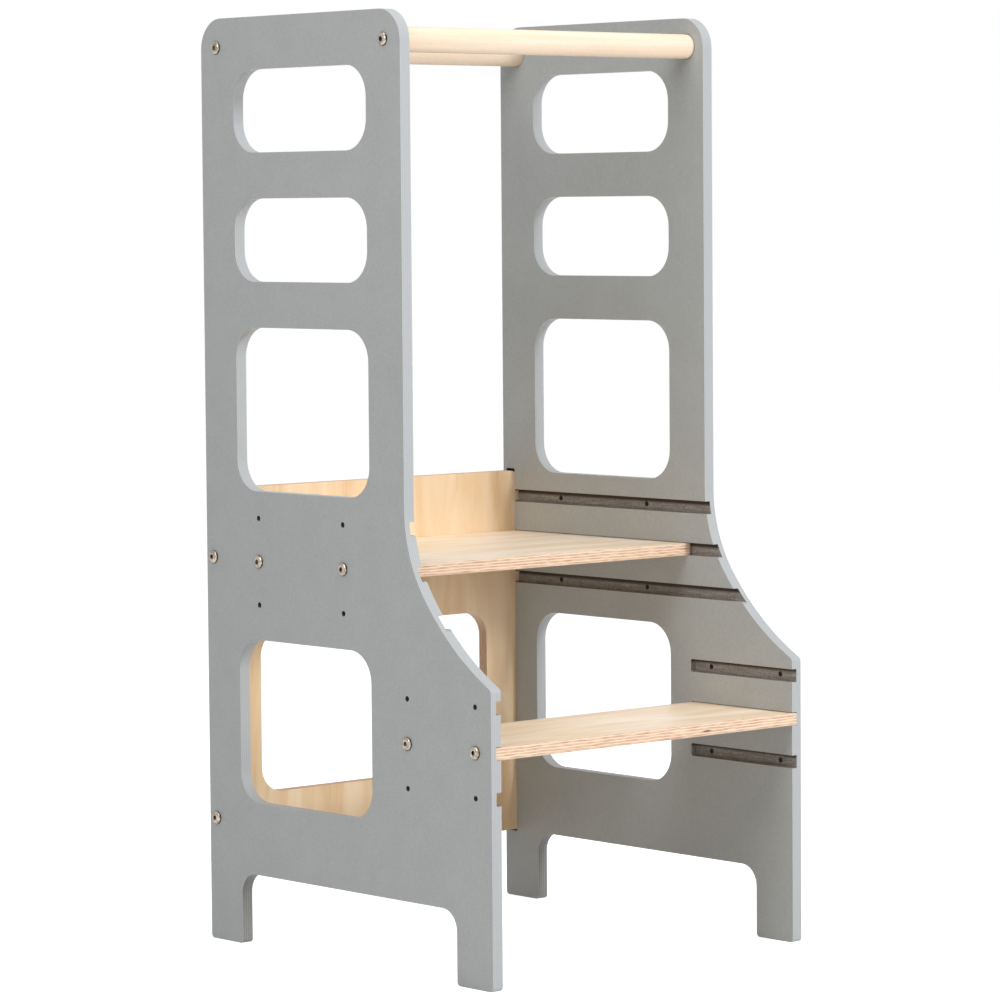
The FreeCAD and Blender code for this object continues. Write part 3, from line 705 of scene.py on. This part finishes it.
for name, side in sides.items():
    makePanel(name, side)


board = {
    "platformRadius": 3 * mm,   # its front corners
    "stepRadius": 0,
    "arris": 0.8 * mm,
    "facing": 0.8,              # a face that turns to Z by more than this is a flat one
    "stepKnot": (73 * mm, -210 * mm, 217 * mm),       # in the front edge, as photographed
    "platformKnot": (-60 * mm, 193 * mm, 375 * mm),   # in the rear edge
}


def makeLevelBoard(node, name):
    low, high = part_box(node)
    frontRadius = board[name + "Radius"]
    size, middle = high - low, (high + low) / 2
    bm = bmesh.new()
    bmesh.ops.create_cube(
        bm, size=1, matrix=Matrix.Translation(middle) @ Matrix.Diagonal((*size, 1)))
    if frontRadius:
        upright = [e for e in bm.edges if abs(e.verts[0].co.z - e.verts[1].co.z) > size.z / 2
                   and e.verts[0].co.y < middle.y]
        bmesh.ops.bevel(bm, geom=upright, affect="EDGES", offset=frontRadius, segments=6,
                        profile=0.5, material=-1)
    flat = [e for e in bm.edges if abs(e.verts[0].co.z - e.verts[1].co.z) < hair]
    bmesh.ops.bevel(bm, geom=flat, affect="EDGES", offset=board["arris"], segments=3,
                    profile=0.5, material=-1)
    for face in bm.faces:
        face.material_index = 0 if abs(face.normal.z) > board["facing"] else 1
    edge = birchEdge(name + "BoardBirchEdge", 2, middle.z, birch["earlyWood"],
                     board[name + "Knot"])
    piece = closePiece(bm, name + "Board", [finishes["litLevelBirch"], edge], node)
    smoothPiece(piece)


makeLevelBoard("standing_platform", "platform")
makeLevelBoard("lower_step", "step")


back = {
    "topRadius": 12 * mm,
    "windowMargin": 40 * mm,     # from the side panels' inner faces
    "windowSill": 140 * mm,
    "windowHead": 300 * mm,
    "windowRadius": 25 * mm,
    "arris": 0.8 * mm,
    "facing": 0.8,               # a face that turns to Y by more than this is a flat one
    "knot": (70 * mm, 199 * mm, 74 * mm),      # in the bottom edge
}


def makeBackPanel():
    low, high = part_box("back_panel")
    bm = bmesh.new()
    top = back["topRadius"]
    addLoop(bm, [(low.x, low.z, 0), (high.x, low.z, 0), (high.x, high.z, top),
                 (low.x, high.z, top)])
    inset = groove["depth"] + back["windowMargin"]
    addWindow(bm, low.x + inset, high.x - inset, back["windowSill"], back["windowHead"],
              back["windowRadius"])
    fillAndThicken(bm, high.y - low.y)
    # the outline was drawn in YZ: a quarter turn brings it into XZ
    bmesh.ops.rotate(bm, verts=bm.verts[:], cent=(0, 0, 0),
                     matrix=Matrix.Rotation(-math.pi / 2, 3, "Z"))
    bmesh.ops.translate(bm, verts=bm.verts[:], vec=(0, high.y, 0))
    easeEdges(bm, back["arris"])
    bmesh.ops.recalc_face_normals(bm, faces=bm.faces[:])
    for face in bm.faces:
        face.material_index = 0 if abs(face.normal.y) > back["facing"] else 1
    edge = birchEdge("backBirchEdge", 1, (low.y + high.y) / 2, birch["backWood"],
                     back["knot"])
    piece = closePiece(bm, "backBoard", [finishes["uprightBirch"], edge],
                       "back_panel")
    smoothPiece(piece)


makeBackPanel()
print("boards made")


rail = {
    "segments": 96,
    "endEasing": 1 * mm,
}


def makeRail(node, name):
    low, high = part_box(node)
    middle = (low + high) / 2
    radius = (high.z - low.z) / 2
    bm = bmesh.new()
    bmesh.ops.create_cone(
        bm, cap_ends=True, segments=rail["segments"], radius1=radius, radius2=radius,
        depth=high.x - low.x,
        matrix=Matrix.Translation(middle) @ Matrix.Rotation(math.pi / 2, 4, "Y"))
    easeEdges(bm, rail["endEasing"])
    piece = closePiece(bm, name, [finishes["beech"]], node)
    smoothPiece(piece)


makeRail("front_rail", "frontRailBar")
makeRail("rear_rail", "rearRailBar")
print("rails made")


screw = {
    "shankRadius": 2.5 * mm,
    "headRadius": 6.3 * mm,
    "headHeight": 3 * mm,
    "rimHeight": 0.7 * mm,
    "rimEasing": 0.3 * mm,
    "tipEasing": (0.6 * mm, 0.8 * mm),   # across and along the shank
    "crownRadius": 3.2 * mm,      # flat ring round the socket
    "crownSteps": 8,
    "keyRadius": 2.5 * mm,        # over the corners of the hexagon
    "keyDepth": 1.6 * mm,
    "shadedHeight": 1.5 * mm,       # below it the rim is painted in shade
    "shadedRadius": 2.25 * mm,      # and within this, in the socket
    "segments": 48,
    "sharpAngle": 35,             # degrees
}


def makeScrew(node, name, side):
    low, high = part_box(node)
    middle = (low + high) / 2
    length = high.x - low.x - screw["headHeight"]
    bm = bmesh.new()
    # half the profile, from the shank's tip to the ring round the socket, outwards along +Z
    rise = screw["headHeight"] - screw["rimHeight"]
    reach = screw["headRadius"] - screw["crownRadius"]
    acrossTip, alongTip = screw["tipEasing"]
    profile = [(0, -length), (screw["shankRadius"] - acrossTip, -length),
               (screw["shankRadius"], -length + alongTip), (screw["shankRadius"], 0),
               (screw["headRadius"] - screw["rimEasing"], 0),
               (screw["headRadius"], screw["rimEasing"]),
               (screw["headRadius"], screw["rimHeight"])]
    for step in range(1, screw["crownSteps"] + 1):
        turn = math.pi / 2 * step / screw["crownSteps"]
        profile.append((screw["crownRadius"] + reach * math.cos(turn),
                        screw["rimHeight"] + rise * math.sin(turn)))
    verts = [bm.verts.new((r, 0, z)) for r, z in profile]
    edges = [bm.edges.new(pair) for pair in zip(verts, verts[1:])]
    bmesh.ops.spin(bm, geom=verts + edges, cent=(0, 0, 0), axis=(0, 0, 1),
                   angle=2 * math.pi, steps=screw["segments"], use_merge=True)
    bmesh.ops.remove_doubles(bm, verts=bm.verts[:], dist=hair)
    # the hexagon, bridged to the crown's ring and pushed in
    rim = [e for e in bm.edges if e.is_boundary]
    key = bmesh.ops.create_circle(
        bm, segments=6, radius=screw["keyRadius"],
        matrix=Matrix.Translation((0, 0, screw["headHeight"])))
    keyEdges = list({e for v in key["verts"] for e in v.link_edges})
    bmesh.ops.bridge_loops(bm, edges=rim + keyEdges)
    pushed = bmesh.ops.extrude_edge_only(bm, edges=keyEdges)
    lower = [item for item in pushed["geom"] if isinstance(item, bmesh.types.BMVert)]
    bmesh.ops.translate(bm, verts=lower, vec=(0, 0, -screw["keyDepth"]))
    bmesh.ops.contextual_create(bm, geom=lower)
    bmesh.ops.recalc_face_normals(bm, faces=bm.faces[:])
    # painted shade in the socket and round the head's rim: those faces take the darker copy of
    # the plate
    for face in bm.faces:
        middleOfFace = face.calc_center_median()
        shaded = (middleOfFace.xy.length < screw["shadedRadius"]
                or middleOfFace.z < screw["shadedHeight"])
        face.material_index = 1 if shaded else 0
    seat = high.x - screw["headHeight"] if side > 0 else low.x + screw["headHeight"]
    bmesh.ops.transform(
        bm, verts=bm.verts[:],
        matrix=Matrix.Translation((seat, middle.y, middle.z))
        @ Matrix.Rotation(side * math.pi / 2, 4, "Y"))
    piece = closePiece(bm, name, [finishes["nickel"], finishes["shadedNickelRim"]],
                       node)
    smoothPiece(piece, screw["sharpAngle"])


fastenings = ("front_rail", "rear_rail", "back_panel_lower", "back_panel_upper",
              "platform_front", "platform_rear", "step_front", "step_rear")
for name, side in sides.items():
    for fastening in fastenings:
        makeScrew(f"screw_{name}_{fastening}", f"{name}Screw_{fastening}", side)
print("screws made")


studio = {
    "floorReach": 30,           # m, from the middle
    "floor": "#e0e0e0",
    "air": "#ffffff",
    "floorGlow": 0.83,          # lifts the floor to white in the camera's view, shadows stay
    "world": 0.25,
    "aim": (0, 0, 450 * mm),    # the stool's middle
    # each lamp: place and size across in m, then watts
    "lamps": {
        "frontLamp": ((0.47, -3, 1.5), 0.45, 48),
        "lowLamp": ((0.5, -3.5, 0.9), 1.4, 26),
        "sideLamp": ((-1.7, -0.5, 1.6), 1, 14),
        "topLamp": ((0, -0.2, 3.4), 2, 45),
    },
}


def makeFloor():
    material, tree = newFinish("mattWhiteStudioFloor")
    paper = addNode(tree, "ShaderNodeBsdfDiffuse", None, {"Color": linear(studio["floor"])})
    seen = addNode(tree, "ShaderNodeLightPath")
    anyView = addNode(tree, "ShaderNodeMath", {"operation": "MAXIMUM"}, {
        0: seen.outputs["Is Camera Ray"], 1: seen.outputs["Is Glossy Ray"]})
    strength = addNode(tree, "ShaderNodeMath", {"operation": "MULTIPLY"}, {
        0: anyView.outputs["Value"], 1: studio["floorGlow"]})
    glow = addNode(tree, "ShaderNodeEmission", None, {"Strength": strength.outputs["Value"]})
    both = addNode(tree, "ShaderNodeAddShader", None, {
        0: paper.outputs["BSDF"], 1: glow.outputs["Emission"]})
    addNode(tree, "ShaderNodeOutputMaterial", None, {"Surface": both.outputs["Shader"]})
    bm = bmesh.new()
    bmesh.ops.create_grid(bm, x_segments=1, y_segments=1, size=studio["floorReach"])
    mesh = bpy.data.meshes.new("studioFloor")
    bm.to_mesh(mesh)
    bm.free()
    mesh.materials.append(material)
    floor = bpy.data.objects.new("studioFloor", mesh)
    bpy.context.scene.collection.objects.link(floor)


def makeWorld():
    world = bpy.data.worlds.new("studioAir")
    bpy.context.scene.world = world
    world.use_nodes = True
    tree = world.node_tree
    tree.nodes.clear()
    seen = addNode(tree, "ShaderNodeLightPath")
    first = addNode(tree, "ShaderNodeMath", {"operation": "MAXIMUM"}, {
        0: seen.outputs["Is Camera Ray"], 1: seen.outputs["Is Glossy Ray"]})
    anyView = addNode(tree, "ShaderNodeMath", {"operation": "MAXIMUM"}, {
        0: first.outputs["Value"], 1: seen.outputs["Is Transmission Ray"]})
    light = addNode(tree, "ShaderNodeBackground", None, {
        "Color": linear(studio["air"]), "Strength": studio["world"]})
    backdrop = addNode(tree, "ShaderNodeBackground", None, {
        "Color": linear(studio["air"]), "Strength": 1})
    mixed = addNode(tree, "ShaderNodeMixShader", None, {
        0: anyView.outputs["Value"], 1: light.outputs["Background"],
        2: backdrop.outputs["Background"]})
    addNode(tree, "ShaderNodeOutputWorld", None, {"Surface": mixed.outputs["Shader"]})


def makeLamp(name, place, size, power):
    lamp = bpy.data.lights.new(name, "AREA")
    lamp.shape = "DISK"
    lamp.size = size
    lamp.energy = power
    holder = bpy.data.objects.new(name, lamp)
    bpy.context.scene.collection.objects.link(holder)
    holder.location = place
    aim = Vector(studio["aim"]) - Vector(place)
    holder.rotation_mode = "QUATERNION"
    holder.rotation_quaternion = aim.to_track_quat("-Z", "Y")


makeFloor()
makeWorld()
for name, (place, size, power) in studio["lamps"].items():
    makeLamp(name, place, size, power)


# the camera stands at the front left, a little above the stool's middle
camera = {
    "azimuth": -41.3638,        # degrees
    "elevation": 3.85673,
    "roll": -0.44911,
    "pixels": 1000,             # width of the photograph
    "focalPixels": 4306.7487,
    "sensor": 36,               # mm
    "farthest": 100,            # m
    # where the stool's middle lies from the lens: right, down, away
    "offset": (1.4346 * mm, -18.4581 * mm, 4191.0383 * mm),
}


def makeCamera():
    turned = (Matrix.Rotation(math.radians(camera["azimuth"]), 3, "Z")
              @ Matrix.Rotation(math.radians(90 - camera["elevation"]), 3, "X")
              @ Matrix.Rotation(math.radians(camera["roll"]), 3, "Z"))
    right, down, away = camera["offset"]
    lens = bpy.data.cameras.new("photoCamera")
    lens.sensor_width = camera["sensor"]
    lens.lens = lens.sensor_width * camera["focalPixels"] / camera["pixels"]
    lens.clip_end = camera["farthest"]
    holder = bpy.data.objects.new("photoCamera", lens)
    bpy.context.scene.collection.objects.link(holder)
    place = Vector(studio["aim"]) - turned @ Vector((right, -down, -away))
    holder.matrix_world = Matrix.Translation(place) @ turned.to_4x4()
    bpy.context.scene.camera = holder


makeCamera()
bpy.context.scene.view_settings.view_transform = "Standard"
print("studio made")
